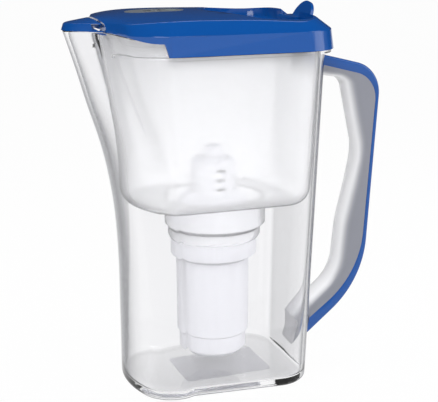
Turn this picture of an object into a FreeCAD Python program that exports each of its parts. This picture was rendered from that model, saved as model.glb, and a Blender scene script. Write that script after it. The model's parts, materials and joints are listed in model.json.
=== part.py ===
import FreeCAD, Part
import math
import os
import Sketcher
from FreeCAD import Vector

# Water filter pitcher: a clear jug with a handle, a hopper that hangs in its rim, a filter cartridge
# through the hopper's floor, and a lid with a fill flap, a spout flap and a change indicator.
# Frame: +Z up, origin on the floor under the filter axis, +X towards the handle, -X the spout.

# Driving sizes in millimetres, angles in degrees. Sizes ahead of the filter axis are written as lengths.
SIZES = [
    # Clear jug
    ("jug_wall", 2.6),
    ("jug_floor", 5.5),
    ("foot_round", 4.0),
    ("base_front", 69.5),
    ("base_back", 62.3),
    ("base_lobe_half", 45.4),
    ("base_half", 50.5),
    ("base_back_round", 24.0),
    ("base_lobe_round", 26.0),
    ("spout_front", 107.2),
    ("spout_height", 261.5),
    ("rim_drop", 5.3),
    ("rim_back", 69.0),
    ("rim_half", 61.6),
    ("rim_back_round", 28.0),
    ("rim_lobe_round", 8.0),
    ("prow_round", 80.0),
    ("waist_round", 10.0),
    ("waist_turn", 18.0),
    ("ramp_setback", 16.2),
    ("ramp_length", 35.0),
    ("ledge_drop", 8.6),
    ("ledge_thick", 2.2),
    ("ledge_setback", 12.0),
    ("pad_raise", 0.6),
    ("pad_margin", 1.8),
    # Handle and its coloured strip
    ("grip_half", 11.0),
    ("grip_wall", 2.4),
    ("grip_round", 2.0),
    ("grip_drop", 1.0),
    ("grip_elbow_reach", 63.0),
    ("grip_elbow_drop", 18.1),
    ("grip_elbow_round", 25.0),
    ("grip_knee_reach", 60.4),
    ("grip_knee_height", 59.5),
    ("grip_knee_round", 75.0),
    ("grip_foot", 7.7),
    ("strip_arm_depth", 7.0),
    ("strip_run_depth", 3.9),
    ("strip_foot_depth", 6.5),
    ("strip_round", 2.0),
    ("strip_tongue", 2.2),
    ("strip_play", 0.15),
    ("finger_drop", 17.9),
    ("finger_corner_reach", 33.0),
    ("finger_corner_drop", 24.4),
    ("finger_corner_round", 9.0),
    ("finger_swell_reach", 46.5),
    ("finger_swell_drop", 82.4),
    ("finger_swell_round", 40.0),
    ("finger_hollow_reach", 40.2),
    ("finger_hollow_height", 108.0),
    ("finger_hollow_round", 70.0),
    ("finger_knee_reach", 36.7),
    ("finger_knee_height", 68.0),
    ("finger_knee_round", 34.0),
    ("finger_foot", 34.5),
    # Hopper and its filter socket
    ("hopper_wall", 2.0),
    ("hopper_depth", 119.7),
    ("hopper_floor_thick", 2.2),
    ("hopper_shoulder", 14.0),
    ("hopper_low_inset", 11.0),
    ("hopper_play", 0.9),
    ("hopper_low_play", 1.8),
    ("hopper_prow_round", 74.0),
    ("hopper_lobe_round", 16.0),
    ("pour_gap", 20.5),
    ("pour_low_gap", 3.6),
    ("flange_thick", 2.0),
    ("flange_inset", 0.7),
    ("flange_setback", 4.0),
    ("socket_outer", 76.6),
    ("socket_low_outer", 69.4),
    ("socket_wall", 2.4),
    ("socket_drop", 18.0),
    ("socket_chamfer", 3.6),
    ("socket_low_drop", 10.0),
    ("socket_lip_inset", 1.3),
    # Filter cartridge
    ("filter_play", 0.4),
    ("filter_wall", 1.8),
    ("filter_gap", 13.5),
    ("filter_floor_thick", 2.2),
    ("filter_body", 52.4),
    ("filter_foot", 48.8),
    ("filter_foot_height", 15.0),
    ("filter_foot_round", 3.5),
    ("filter_step", 2.0),
    ("collar_height", 22.5),
    ("collar_chamfer", 3.8),
    ("filter_flange_thick", 2.4),
    ("seal_drop", 6.3),
    ("seal_depth", 1.7),
    ("seal_width", 2.4),
    ("seal_gap", 0.1),
    ("outlet_bore", 4.4),
    ("outlet_circle", 26.0),
    ("cap_wall", 1.8),
    ("cap_flange_thick", 2.0),
    ("cap_shoulder", 64.0),
    ("cap_cone", 44.8),
    ("cap_cone_rise", 20.3),
    ("cap_taper_rise", 4.2),
    ("cap_neck", 32.4),
    ("cap_neck_length", 24.0),
    ("cap_top_round", 2.6),
    ("knob_width", 13.2),
    ("knob_height", 9.0),
    ("knob_round", 1.4),
    ("slot_width", 7.0),
    ("slot_height", 2.3),
    ("slot_margin", 1.6),
    ("slot_pitch", 6.9),
    ("screen_thick", 1.0),
    ("bed_play", 0.2),
    ("bed_headroom", 15.5),
    # Lid
    ("lid_wall", 2.2),
    ("lid_gap", 0.3),
    ("lid_overhang", 0.9),
    ("lid_prow_round", 81.0),
    ("lid_lobe_round", 11.0),
    ("skirt_reach", 3.8),
    ("skirt_back_reach", 4.6),
    ("skirt_corner_gain", 1.5),
    ("skirt_slant", 3.5),
    ("skirt_height", 13.2),
    ("skirt_draft", 1.4),
    ("bevel_round", 1.2),
    ("ridge_round", 1.6),
    ("ridge_rise", 7.3),
    ("ridge_inset", 5.8),
    ("ridge_back_inset", 10.1),
    ("ridge_front_inset", 2.5),
    ("ridge_prow_round", 78.0),
    ("ridge_lobe_round", 9.0),
    ("ridge_back_round", 24.0),
    ("crown_rise", 4.7),
    ("crown_place", 40.0),
    ("crown_front_fall", 7.4),
    ("crown_back_fall", 4.5),
    ("crown_side_fall", 3.9),
    # Fill well and its flap
    ("well_front", 16.0),
    ("well_back_margin", 2.3),
    ("well_side_margin", 6.4),
    ("well_depth", 7.7),
    ("well_round", 15.0),
    ("well_front_round", 2.0),
    ("well_seat", 5.0),
    ("scoop_reach", 30.0),
    ("scoop_round", 24.0),
    ("scoop_rise", 3.0),
    ("notch_gap", 1.1),
    ("notch_rise", 3.1),
    ("flap_gap", 0.7),
    ("flap_rest", 0.3),
    ("flap_thick", 2.2),
    ("flap_barrel", 4.4),
    ("flap_barrel_gap", 0.6),
    ("flap_front_gap", 1.2),
    ("pin_width", 3.0),
    ("pin_length", 3.0),
    ("pin_play", 0.06),
    ("tab_half", 14.3),
    ("tab_overhang", 10.6),
    ("tab_thick", 2.4),
    ("tab_rise", 3.5),
    ("tab_lean", 26.0),
    # Spout flap
    ("spout_axis_setback", 16.1),
    ("spout_axis_rise", 2.1),
    ("spout_knuckle", 6.7),
    ("spout_knuckle_gap", 1.4),
    ("spout_skin_rise", 3.0),
    ("spout_lip_gap", 0.4),
    ("ear_place", 33.0),
    ("ear_thick", 3.0),
    ("ear_round", 2.3),
    ("ear_drop", 3.0),
    ("ear_strut", 2.0),
    ("ear_pin", 2.4),
    ("ear_gap", 0.4),
    ("rib_thick", 2.4),
    # Change indicator
    ("case_place", 43.0),
    ("case_length", 42.0),
    ("case_width", 26.0),
    ("case_flange", 1.3),
    ("case_lip", 1.8),
    ("case_wall", 1.0),
    ("case_play", 0.2),
    ("case_face", 2.2),
    ("window_place", 44.7),
    ("window_length", 12.6),
    ("window_width", 10.0),
    ("lens_thick", 1.2),
    ("display_margin", 1.6),
    ("display_height", 2.4),
    ("button_width", 9.6),
    ("button_play", 0.25),
    ("button_lip", 0.4),
    ("button_lip_thick", 0.8),
    ("button_side_gap", 0.35),
    ("board_thick", 1.2),
    ("stack_gap", 0.2),
    ("cell_width", 16.0),
    ("cell_thick", 3.2),
    ("cover_thick", 1.4),
    # One overrun for every cut
    ("overrun", 2.0),
]

doc = FreeCAD.newDocument("water_filter_pitcher")
sheet = doc.addObject("Spreadsheet::Sheet", "sizes")
for row, (alias, value) in enumerate(SIZES, start=1):
    sheet.set("A%d" % row, alias)
    sheet.set("B%d" % row, str(value))
    sheet.setAlias("B%d" % row, alias)
doc.recompute()


def size(alias):
    """Value of a cell of the sheet."""
    return float(sheet.get(alias))


# Places that follow from the driving sizes, kept in the sheet beside them so that features can use them
PLACES = [
    ("rim_height", "spout_height - rim_drop"),
    ("ledge_top", "rim_height - ledge_drop"),
    ("ledge_low", "ledge_top - ledge_thick"),
    ("ramp_front", "spout_front - ramp_setback"),
    ("ramp_back", "ramp_front - ramp_length"),
    ("ledge_front", "ramp_front - ledge_setback"),
    ("hopper_floor", "rim_height - hopper_depth"),
    ("hopper_inner_floor", "hopper_floor + hopper_floor_thick"),
    ("flange_front", "ramp_back - flange_setback"),
    ("socket_seat", "hopper_floor - socket_drop"),
    ("socket_lip", "socket_seat - socket_low_drop"),
    ("filter_floor", "jug_floor + filter_gap"),
    ("foot_top", "filter_floor + filter_foot_height"),
    ("bed_low", "foot_top + filter_step"),
    ("bed_top", "socket_seat - bed_headroom"),
    ("collar_low", "socket_seat - collar_height"),
    ("collar_half", "socket_low_outer / 2 - socket_wall - filter_play"),
    ("flange_half", "socket_outer / 2 - socket_wall - filter_play"),
    ("filter_flange_top", "socket_seat + filter_flange_thick"),
    ("seal_seat", "socket_seat - seal_drop"),
    ("groove_half", "collar_half - seal_depth"),
    ("cap_flange_top", "filter_flange_top + cap_flange_thick"),
    ("cap_cone_height", "socket_seat + cap_cone_rise"),
    ("cap_neck_height", "cap_cone_height + cap_taper_rise"),
    ("cap_top", "cap_neck_height + cap_neck_length"),
    ("knob_top", "cap_top + knob_height"),
    ("slot_first", "cap_neck_height + slot_margin"),
    ("lid_front", "spout_front + lid_overhang"),
    ("skirt_low", "ledge_top + lid_gap"),
    ("skirt_half", "rim_half + skirt_reach"),
    ("skirt_back", "rim_back + skirt_back_reach"),
    ("skirt_back_round", "rim_back_round + skirt_corner_gain"),
    ("skirt_front", "ramp_back - skirt_slant"),
    ("bevel_low", "skirt_low + skirt_height"),
    ("ridge_height", "bevel_low + ridge_rise"),
    ("ridge_half", "skirt_half - skirt_draft - ridge_inset"),
    ("ridge_back", "skirt_back - skirt_draft - ridge_back_inset"),
    ("ridge_front", "lid_front - ridge_front_inset"),
    ("crown_height", "ridge_height + crown_rise"),
    ("well_back", "ridge_back - well_back_margin"),
    ("well_half", "ridge_half - well_side_margin"),
    ("well_floor", "ridge_height - well_depth"),
    ("scoop_floor", "well_floor + scoop_rise"),
    ("notch_low", "well_floor + notch_rise"),
    ("notch_half", "tab_half + notch_gap"),
    ("tab_reach", "well_back + tab_overhang"),
    ("tab_top", "crown_height + tab_rise"),
]
for row, (alias, formula) in enumerate(PLACES, start=len(SIZES) + 1):
    sheet.set("A%d" % row, alias)
    sheet.set("B%d" % row, "=" + formula)
    sheet.setAlias("B%d" % row, alias)
    doc.recompute()


NODES = []


def add_shape(label, shape):
    """Keep a worked-out solid as a document object of its own."""
    piece = doc.addObject("Part::Feature", label)
    piece.Label = label
    piece.Shape = shape
    piece.Placement = FreeCAD.Placement()
    NODES.append(piece)
    return piece


def keep(piece, label):
    """Give a finished document object its name."""
    piece.Label = label
    NODES.append(piece)
    return piece


def origin_plane(body, role):
    """Origin plane of a body, found by its role."""
    return [plane for plane in body.Origin.OriginFeatures if plane.Role == role][0]


def polygon(sketch, corners):
    """Closed outline whose corners are held from the origin by sheet expressions."""
    first = sketch.GeometryCount
    count = len(corners)
    for index in range(count):
        start = Vector(first + index, index * index, 0)
        end = Vector(first + index + 1, (index + 1) * (index + 1), 0)
        sketch.addGeometry(Part.LineSegment(start, end), False)
    for index in range(count):
        following = first + (index + 1) % count
        sketch.addConstraint(Sketcher.Constraint("Coincident", first + index, 2, following, 1))
    for index, (across, along) in enumerate(corners):
        for kind, expression in (("DistanceX", across), ("DistanceY", along)):
            held = sketch.addConstraint(Sketcher.Constraint(kind, -1, 1, first + index, 1, 1.0))
            sketch.setExpression("Constraints[%d]" % held, expression)


def new_sketch(body, name, role):
    """Sketch on one of the body's own origin planes."""
    sketch = body.newObject("Sketcher::SketchObject", name)
    sketch.AttachmentSupport = (origin_plane(body, role), [""])
    sketch.MapMode = "FlatFace"
    return sketch


def turned_body(name, corners):
    """Body turned about the Z axis from a half profile of radius and height expressions."""
    body = doc.addObject("PartDesign::Body", name)
    sketch = new_sketch(body, name + "_profile", "XZ_Plane")
    polygon(sketch, corners)
    turn = body.newObject("PartDesign::Revolution", name + "_turn")
    turn.Profile = sketch
    turn.ReferenceAxis = (sketch, ["V_Axis"])
    turn.Angle = 360
    doc.recompute()
    return body


def line(start, end):
    return Part.LineSegment(start, end).toShape()


def arc(centre, radius, first, last, z):
    """Arc in plan between two directions in radians."""
    middle = (first + last) / 2
    points = [Vector(centre[0] + radius * math.cos(a), centre[1] + radius * math.sin(a), z)
              for a in (first, middle, last)]
    return Part.Arc(*points).toShape()


def mirrored(edge):
    """The same edge on the other side of the XZ plane."""
    return edge.mirror(Vector(0, 0, 0), Vector(0, 1, 0))


def plan_wire(plan, z, inset=0.0):
    """Bowed outline in plan: prow arc, lobe arcs, hollow waists if any, sides, back corners, back."""
    prow = plan["prow"] - inset
    lobe = plan["lobe"] - inset
    back_round = plan["back_round"] - inset
    prow_x = -plan["front"] + plan["prow"]
    lobe_y = plan["lobe_half"] - plan["lobe"]
    lobe_x = prow_x - math.sqrt((prow - lobe) ** 2 - lobe_y ** 2)
    back_x = plan["back"] - plan["back_round"]
    back_y = plan["half"] - plan["back_round"]
    prow_turn = math.atan2(lobe_y, lobe_x - prow_x)
    edges = [arc((lobe_x, lobe_y), lobe, prow_turn, math.pi / 2 - plan["turn"], z)] if plan["turn"] else []
    if plan["turn"]:
        waist = plan["waist"] + inset
        reach = lobe + waist
        waist_x = lobe_x + reach * math.sin(plan["turn"])
        waist_y = lobe_y + reach * math.cos(plan["turn"])
        span_x, span_y, far = waist_x - back_x, waist_y - back_y, back_round + waist
    else:
        span_x, span_y, far = lobe_x - back_x, lobe_y - back_y, back_round - lobe
    slope = math.atan2(span_y, span_x) - math.pi + math.asin(far / math.hypot(span_x, span_y))
    normal = math.pi / 2 + slope
    side_end = Vector(back_x + back_round * math.cos(normal), back_y + back_round * math.sin(normal), z)
    if plan["turn"]:
        edges.append(arc((waist_x, waist_y), waist, -math.pi / 2 - plan["turn"], -math.pi / 2 + slope, z))
        side_start = Vector(waist_x - waist * math.cos(normal), waist_y - waist * math.sin(normal), z)
    else:
        edges.append(arc((lobe_x, lobe_y), lobe, prow_turn, normal, z))
        side_start = Vector(lobe_x + lobe * math.cos(normal), lobe_y + lobe * math.sin(normal), z)
    edges.append(line(side_start, side_end))
    edges.append(arc((back_x, back_y), back_round, normal, 0, z))
    back_end = Vector(back_x + back_round, back_y, z)
    front = arc((prow_x, 0), prow, 2 * math.pi - prow_turn, prow_turn, z)
    back = line(back_end, Vector(back_end.x, -back_end.y, z))
    loop = [front] + edges + [back] + [mirrored(edge) for edge in reversed(edges)]
    return Part.Wire(Part.__sortEdges__(loop))


def loft(wires, ruled=False):
    return Part.makeLoft(wires, True, ruled)


def rounded_path(corners, rounds):
    """Edges in the XZ plane: straight runs joined by tangent arcs at the inner corners."""
    points = [Vector(x, 0, z) for x, z in corners]
    edges = []
    start = points[0]
    for before, corner, after, radius in zip(points, points[1:], points[2:], rounds):
        into = (corner - before).normalize()
        out = (after - corner).normalize()
        turn = into.getAngle(out)
        reach = radius * math.tan(turn / 2)
        first = corner - into * reach
        last = corner + out * reach
        inward = (out - into).normalize()
        centre = corner + inward * (radius / math.cos(turn / 2))
        edges.append(line(start, first))
        edges.append(Part.Arc(first, centre - inward * radius, last).toShape())
        start = last
    edges.append(line(start, points[-1]))
    return edges


def shifted_path(corners, rounds, shift):
    """The same path moved sideways, to the left of its direction for a positive shift."""
    points = [Vector(x, 0, z) for x, z in corners]
    runs = [(b - a).normalize() for a, b in zip(points, points[1:])]
    lefts = [Vector(-run.z, 0, run.x) for run in runs]
    moved = [points[0] + lefts[0] * shift]
    new_rounds = []
    for index, radius in enumerate(rounds):
        turn = runs[index].x * runs[index + 1].z - runs[index].z * runs[index + 1].x
        half = runs[index].getAngle(runs[index + 1]) / 2
        between = (lefts[index] + lefts[index + 1]).normalize()
        moved.append(points[index + 1] + between * (shift / math.cos(half)))
        new_rounds.append(radius - shift if turn > 0 else radius + shift)
    moved.append(points[-1] + lefts[-1] * shift)
    return [(point.x, point.z) for point in moved], new_rounds


def prism_y(edges, half):
    """Solid of an outline in the XZ plane, equally far to both sides of it."""
    wire = Part.Wire(Part.__sortEdges__(edges))
    return Part.Face(wire).extrude(Vector(0, 2 * half, 0)).translated(Vector(0, -half, 0))


def box(x0, x1, half, z0, z1):
    return Part.makeBox(x1 - x0, 2 * half, z1 - z0, Vector(x0, -half, z0))


def rod_y(x, z, radius, y0, y1):
    return Part.makeCylinder(radius, y1 - y0, Vector(x, y0, z), Vector(0, 1, 0))


# Jug: outer form by height

OVER = size("overrun")
TOP = size("spout_height")
# Two places closer than this small share of the overrun count as one.
NEAR_SHARE = 0.001
NEAR = OVER * NEAR_SHARE
# The prow stands upright to about a third of the height and then leans out to the spout.
PROW_HEIGHT_SHARES = (0.0, 0.2, 0.36, 0.5, 0.62, 0.71, 0.8, 0.905, 1.0)
PROW_REACH_SHARES = (0.0, 0.0, 0.01, 0.075, 0.21, 0.37, 0.575, 0.79, 1.0)
LOBE_FADE_POWER = 3


def between(low, high, share):
    return size(low) + (size(high) - size(low)) * share


def prow_reach(share):
    """How far the prow leans out at a share of the spout's height."""
    steps = zip(PROW_HEIGHT_SHARES, PROW_HEIGHT_SHARES[1:], PROW_REACH_SHARES, PROW_REACH_SHARES[1:])
    for low, high, reach_low, reach_high in steps:
        if share <= high:
            return reach_low + (reach_high - reach_low) * (share - low) / (high - low)
    return 1.0


def jug_plan(z):
    """Outer outline of the jug at a height."""
    share = z / TOP
    lobe_rest = size("base_lobe_round") - size("rim_lobe_round")
    return {
        "front": between("base_front", "spout_front", prow_reach(share)),
        "prow": size("prow_round"),
        "lobe": size("rim_lobe_round") + lobe_rest * max(0, 1 - share) ** LOBE_FADE_POWER,
        "lobe_half": between("base_lobe_half", "rim_half", share),
        "half": between("base_half", "rim_half", share),
        "back": between("base_back", "rim_back", share),
        "back_round": between("base_back_round", "rim_back_round", share),
        "waist": size("waist_round"),
        "turn": math.radians(size("waist_turn")),
    }


# Quarter round in three steps, as shares of its radius
ROUND_HEIGHT_SHARES = (0.0, 0.134, 0.5, 1.0)
ROUND_INSET_SHARES = (1.0, 0.5, 0.134, 0.0)


def jug_form(low, inset, foot):
    """Lofted form of the jug from a height to the spout, moved in by a wall, with a rounded foot."""
    steps = zip(ROUND_HEIGHT_SHARES, ROUND_INSET_SHARES)
    plan = jug_plan(low + foot)
    rounding = [plan_wire(plan, low + foot * rise, inset + foot * draw) for rise, draw in steps]
    heights = [low + foot] + [share * TOP for share in PROW_HEIGHT_SHARES[1:]]
    body = loft([plan_wire(jug_plan(z), z, inset) for z in heights])
    return loft(rounding, True).fuse(body)


def rim_line(rise):
    """Edge of the rim seen from the side: level, a soft ramp up, and level at the spout."""
    front = Vector(-size("ramp_front"), 0, TOP + rise)
    back = Vector(-size("ramp_back"), 0, size("rim_height") + rise)
    pull = (back.x - front.x) / 2
    ramp = Part.BezierCurve()
    ramp.setPoles([front, front + Vector(pull, 0, 0), back - Vector(pull, 0, 0), back])
    return front, ramp.toShape(), back


def above_rim(rise):
    """Everything over the rim."""
    far_front = -size("spout_front") - OVER
    far_back = size("skirt_back") + OVER
    high = size("crown_height") + OVER
    front, ramp, back = rim_line(rise)
    corners = [back, Vector(far_back, 0, back.z), Vector(far_back, 0, high),
               Vector(far_front, 0, high), Vector(far_front, 0, front.z), front]
    return prism_y([ramp] + [line(a, b) for a, b in zip(corners, corners[1:])], size("skirt_half") + OVER)


def skirt_plan(z):
    """Outer outline of the lid below the bevel, with the mould's draft."""
    share = (z - size("skirt_low")) / (size("bevel_low") - size("skirt_low"))
    lean = size("skirt_draft") * share
    return {
        "front": size("lid_front"),
        "prow": size("lid_prow_round"),
        "lobe": size("lid_lobe_round"),
        "lobe_half": size("skirt_half") - lean,
        "half": size("skirt_half") - lean,
        "back": size("skirt_back") - lean,
        "back_round": size("skirt_back_round"),
        "turn": 0,
    }


def make_jug():
    outer = jug_form(0, 0.0, size("foot_round"))
    inner = jug_form(size("jug_floor"), size("jug_wall"), size("foot_round") - size("jug_wall") / 2)
    shell = outer.cut(inner)
    # A ledge round the sides and back carries the lid's skirt.
    ledge_low = size("ledge_low")
    sill = Part.Face(plan_wire(skirt_plan(size("skirt_low")), ledge_low))
    sill = sill.extrude(Vector(0, 0, size("ledge_thick")))
    hollow_heights = (ledge_low - OVER, size("ledge_top") + OVER)
    hollow = loft([plan_wire(jug_plan(z), z, size("jug_wall") / 2) for z in hollow_heights])
    behind = box(-size("ledge_front"), size("skirt_back") + OVER, size("skirt_half") + OVER, ledge_low - OVER, TOP)
    ledge = sill.cut(hollow).common(behind)
    # A raised pad stands on each side of the rim, in front of the skirt.
    pad_heights = (size("ledge_top"), TOP)
    pad = loft([plan_wire(jug_plan(z), z, -size("pad_raise")) for z in pad_heights])
    pad = pad.cut(loft([plan_wire(jug_plan(z), z, size("jug_wall") / 2) for z in pad_heights]))
    margin = size("pad_margin")
    pad = pad.common(box(-size("ledge_front") + margin, -size("ramp_back") - margin, size("skirt_half"),
                         size("ledge_top") + margin, size("rim_height") - margin))
    return outer, shell.fuse([ledge, pad]).cut(above_rim(0.0)).removeSplitter()


jug_outer, jug_shape = make_jug()
add_shape("jug", jug_shape)


# Handle: a channel open to the outside, closed by the coloured strip

def wall_reach():
    """A place inside the jug's back wall, where the handle's outlines start before they are trimmed."""
    return size("base_back") - size("jug_wall") * 2


def grip_top():
    return size("ledge_low") - size("grip_drop")


def strip_outer():
    corners = [(wall_reach(), grip_top()),
               (size("rim_back") + size("grip_elbow_reach"), grip_top() - size("grip_elbow_drop")),
               (size("base_back") + size("grip_knee_reach"), size("grip_knee_height")),
               (wall_reach(), size("grip_foot"))]
    return corners, [size("grip_elbow_round"), size("grip_knee_round")]


def strip_inner():
    """Inner edge of the strip: deeper along the two arms than along the run."""
    (top, elbow, knee, foot), rounds = strip_outer()
    elbow = (elbow[0] - size("strip_run_depth"), elbow[1] - size("strip_arm_depth"))
    knee = (knee[0] - size("strip_run_depth"), knee[1] + size("strip_foot_depth"))
    corners = [(top[0], top[1] - size("strip_arm_depth")), elbow, knee,
               (foot[0], foot[1] + 2 * size("strip_foot_depth"))]
    return corners, [rounds[0] - size("strip_run_depth"), rounds[1] - size("strip_run_depth")]


def finger_side():
    corners = [(wall_reach(), grip_top() - size("finger_drop")),
               (size("rim_back") + size("finger_corner_reach"), grip_top() - size("finger_corner_drop")),
               (size("rim_back") + size("finger_swell_reach"), grip_top() - size("finger_swell_drop")),
               (size("base_back") + size("finger_hollow_reach"), size("finger_hollow_height")),
               (size("base_back") + size("finger_knee_reach"), size("finger_knee_height")),
               (wall_reach(), size("finger_foot"))]
    rounds = [size("finger_corner_round"), size("finger_swell_round"),
              size("finger_hollow_round"), size("finger_knee_round")]
    return corners, rounds


def between_paths(first, second, half):
    """Solid between two paths that run the same way, closed at their ends."""
    ends = [(first[0][0], second[0][0]), (first[0][-1], second[0][-1])]
    closing = [line(Vector(a[0], 0, a[1]), Vector(b[0], 0, b[1])) for a, b in ends]
    return prism_y(rounded_path(*first) + rounded_path(*second) + closing, half)


def long_edges(solid, path):
    """Edges of a prism that follow a path along both of its sides."""
    run = Part.Wire(rounded_path(*path))
    found = []
    for edge in solid.Edges:
        middle = edge.valueAt((edge.FirstParameter + edge.LastParameter) / 2)
        flat = Part.Vertex(Vector(middle.x, 0, middle.z))
        if edge.BoundBox.YLength < NEAR and run.distToShape(flat)[0] < NEAR:
            found.append(edge)
    return found


def make_handle():
    web = shifted_path(*finger_side(), size("grip_wall"))
    channel_half = size("grip_half") - size("grip_wall")
    frame = between_paths(strip_inner(), finger_side(), size("grip_half"))
    frame = frame.makeFillet(size("grip_round"), long_edges(frame, finger_side()))
    frame = frame.cut(between_paths(strip_outer(), web, channel_half))
    return frame.cut(jug_outer).removeSplitter()


def make_strip():
    cap = between_paths(strip_outer(), strip_inner(), size("grip_half"))
    cap = cap.makeFillet(size("strip_round"), long_edges(cap, strip_outer())).cut(jug_outer)
    play = size("strip_play")
    corners, rounds = strip_inner()
    tongue_low = shifted_path(corners, rounds, -size("strip_tongue"))
    tongue = between_paths((corners, rounds), tongue_low, size("grip_half") - size("grip_wall") - play)
    return cap.fuse(tongue.cut(jug_outer)).removeSplitter()


add_shape("handle_frame", make_handle())
add_shape("grip_strip", make_strip())


# Hopper: hangs in the rim by its flange, with a socket for the filter under its floor

def hopper_plan(z):
    """Outer outline of the hopper at a height, kept clear of the jug's inner wall."""
    jug = jug_plan(z)
    low = size("hopper_floor") + size("hopper_shoulder")
    share = (z - low) / (size("rim_height") - low)
    play = size("jug_wall") + between("hopper_low_play", "hopper_play", share)
    gap = between("pour_low_gap", "pour_gap", share)
    return {
        "front": jug["front"] - size("jug_wall") - gap,
        "prow": size("hopper_prow_round"),
        "lobe": size("hopper_lobe_round"),
        "lobe_half": jug["lobe_half"] - play,
        "half": jug["half"] - play,
        "back": jug["back"] - play,
        "back_round": jug["back_round"] - play,
        "turn": 0,
    }


def hopper_form(floor, inset, top):
    """Lofted form of the tub: a rounded bottom and a leaning wall."""
    shoulder = size("hopper_floor") + size("hopper_shoulder")
    round_height_shares = (0.0, 0.1, 0.32, 0.62)
    round_inset_shares = (1.0, 0.62, 0.3, 0.08)
    wires = []
    for height_share, inset_share in zip(round_height_shares, round_inset_shares):
        z = floor + (shoulder - floor) * height_share
        wires.append(plan_wire(hopper_plan(shoulder), z, inset + size("hopper_low_inset") * inset_share))
    bowl = loft(wires + [plan_wire(hopper_plan(shoulder), shoulder, inset)], True)
    wall_shares = (0.0, 0.33, 0.66, 1.0)
    heights = [shoulder + (size("rim_height") - shoulder) * share for share in wall_shares]
    wall = loft([plan_wire(hopper_plan(z), z, inset) for z in heights], True)
    collar = Part.Face(plan_wire(hopper_plan(size("rim_height")), size("rim_height"), inset))
    collar = collar.extrude(Vector(0, 0, top - size("rim_height")))
    return bowl.fuse([wall, collar])


def make_hopper():
    rim = size("rim_height")
    top = rim + size("flange_thick")
    tub = hopper_form(size("hopper_floor"), 0.0, top)
    inside = hopper_form(size("hopper_inner_floor"), size("hopper_wall"), top + OVER)
    flange = Part.Face(plan_wire(jug_plan(rim), rim, size("flange_inset")))
    flange = flange.extrude(Vector(0, 0, size("flange_thick")))
    flange = flange.common(box(-size("flange_front"), size("rim_back") + OVER, size("skirt_half"),
                               rim - OVER, top + OVER))
    outer = size("socket_outer") / 2
    low_outer = size("socket_low_outer") / 2
    seat = size("socket_seat")
    wall = size("socket_wall")
    step = seat - size("socket_chamfer") + wall / 2
    join = size("hopper_floor") + size("hopper_floor_thick") / 2
    socket = turned([(0, join), (outer, join), (outer, step + size("socket_chamfer")), (low_outer, step),
                     (low_outer, size("socket_lip") + wall),
                     (low_outer - size("socket_lip_inset"), size("socket_lip")), (0, size("socket_lip"))])
    high_bore = Part.makeCylinder(outer - wall, size("hopper_inner_floor") + OVER - seat, Vector(0, 0, seat))
    low_bore = Part.makeCylinder(low_outer - wall, top, Vector(0, 0, size("socket_lip") - OVER))
    body = tub.cut(inside).fuse([socket, flange.cut(inside)])
    return body.cut(high_bore.fuse(low_bore)).removeSplitter()


def turned(corners):
    """Solid turned about the Z axis from radius and height pairs."""
    points = [Vector(radius, 0, height) for radius, height in corners]
    wire = Part.makePolygon(points + [points[0]])
    return Part.Face(wire).revolve(Vector(0, 0, 0), Vector(0, 0, 1), 360)


add_shape("hopper_tub", make_hopper())


# Filter cartridge: housing, cap, seal, screens and media

BODY = "sizes.filter_body / 2"
FOOT = "sizes.filter_foot / 2"
BORE = "(sizes.filter_body / 2 - sizes.filter_wall)"
FOOT_BORE = "(sizes.filter_foot / 2 - sizes.filter_wall)"
INNER_FLOOR = "(sizes.filter_floor + sizes.filter_floor_thick)"
INNER_ROUND = "(sizes.filter_foot_round - sizes.filter_wall / 2)"
SEAL_TOP = "sizes.seal_seat + sizes.seal_width"

housing = turned_body("housing_body", [
    ("0", "sizes.filter_floor"),
    (FOOT + " - sizes.filter_foot_round", "sizes.filter_floor"),
    (FOOT, "sizes.filter_floor + sizes.filter_foot_round"),
    (FOOT, "sizes.foot_top"),
    (BODY, "sizes.bed_low"),
    (BODY, "sizes.collar_low - sizes.collar_chamfer"),
    ("sizes.collar_half", "sizes.collar_low"),
    ("sizes.collar_half", "sizes.seal_seat"),
    ("sizes.groove_half", "sizes.seal_seat"),
    ("sizes.groove_half", SEAL_TOP),
    ("sizes.collar_half", SEAL_TOP),
    ("sizes.collar_half", "sizes.socket_seat"),
    ("sizes.flange_half", "sizes.socket_seat"),
    ("sizes.flange_half", "sizes.filter_flange_top"),
    ("sizes.groove_half - sizes.filter_wall", "sizes.filter_flange_top"),
    ("sizes.groove_half - sizes.filter_wall", "sizes.collar_low + sizes.filter_wall"),
    (BORE, "sizes.collar_low - sizes.collar_chamfer + sizes.filter_wall"),
    (BORE, "sizes.bed_low"),
    (FOOT_BORE, "sizes.foot_top"),
    (FOOT_BORE, INNER_FLOOR + " + " + INNER_ROUND),
    (FOOT_BORE + " - " + INNER_ROUND, INNER_FLOOR),
    ("0", INNER_FLOOR),
])
outlet = new_sketch(housing, "outlet_hole", "XY_Plane")
hole = outlet.addGeometry(Part.Circle(Vector(1, 0, 0), Vector(0, 0, 1), 1), False)
held = outlet.addConstraint(Sketcher.Constraint("Diameter", hole, 1.0))
outlet.setExpression("Constraints[%d]" % held, "sizes.outlet_bore")
held = outlet.addConstraint(Sketcher.Constraint("DistanceX", -1, 1, hole, 3, 1.0))
outlet.setExpression("Constraints[%d]" % held, "sizes.outlet_circle / 2")
outlet.addConstraint(Sketcher.Constraint("PointOnObject", hole, 3, -1))
drain = housing.newObject("PartDesign::Pocket", "outlet_drain")
drain.Profile = outlet
drain.setExpression("Length", INNER_FLOOR + " + sizes.overrun")
drain.Reversed = True
OUTLET_COUNT = 6
ring = housing.newObject("PartDesign::PolarPattern", "outlet_ring")
ring.Originals = [drain]
ring.Axis = (outlet, ["N_Axis"])
ring.Angle = 360
ring.Occurrences = OUTLET_COUNT
housing.Tip = ring
keep(housing, "filter_housing")

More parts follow.
